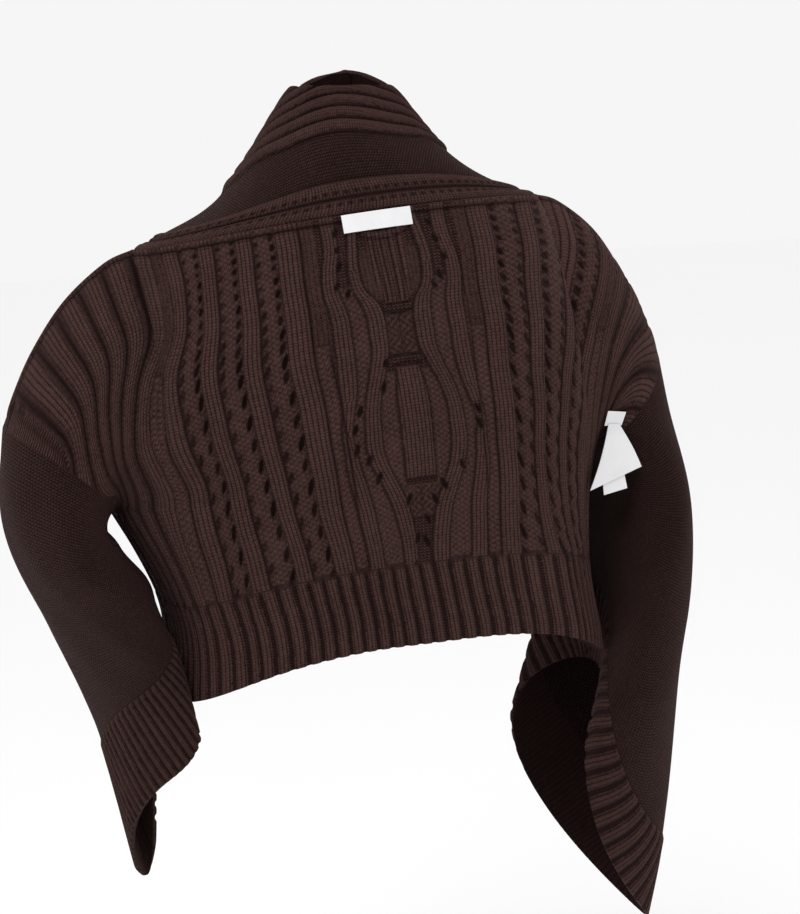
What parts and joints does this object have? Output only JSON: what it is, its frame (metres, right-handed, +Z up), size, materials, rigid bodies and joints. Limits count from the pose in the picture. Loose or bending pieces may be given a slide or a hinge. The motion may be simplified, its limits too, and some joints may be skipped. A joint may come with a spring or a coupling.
{
  "type": "knitted shrug",
  "caption": "Cropped knitted shrug in its worn, hollow form, with a cable and lace back, wide drop sleeves, deep ribbed cuffs and a tall shawl collar.",
  "frame": {"origin": "middle of the wearer's neck base, 7 mm above the middle of the back neck seam and 80 mm in front of it", "axes": "+X to the wearer's right, +Y to the wearer's front, +Z up"},
  "size_m": [0.5732, 0.2686, 0.7395],
  "materials": {
    "back": "dark brown wool knit, cables and lace",
    "front_right": "dark brown wool knit, ribbed",
    "front_left": "dark brown wool knit, ribbed",
    "collar": "dark brown wool knit, purl side with rolled ribs",
    "sleeve_right": "dark brown wool knit, plain",
    "sleeve_left": "dark brown wool knit, plain",
    "cuff_right": "dark brown wool knit, ribbed",
    "cuff_left": "dark brown wool knit, ribbed",
    "neck_label": "white woven tape, blank",
    "size_tab": "white woven tape, blank",
    "care_label": "white satin tape, blank",
    "care_slip": "white satin tape, blank"
  },
  "bodies": {
    "root": {"back": "back", "front_right": "front_right", "front_left": "front_left", "collar": "collar", "sleeve_right": "sleeve_right", "sleeve_left": "sleeve_left", "cuff_right": "cuff_right", "cuff_left": "cuff_left", "neck_label": "neck_label", "size_tab": "size_tab", "care_label": "care_label", "care_slip": "care_slip"}
  },
  "joints": []
}
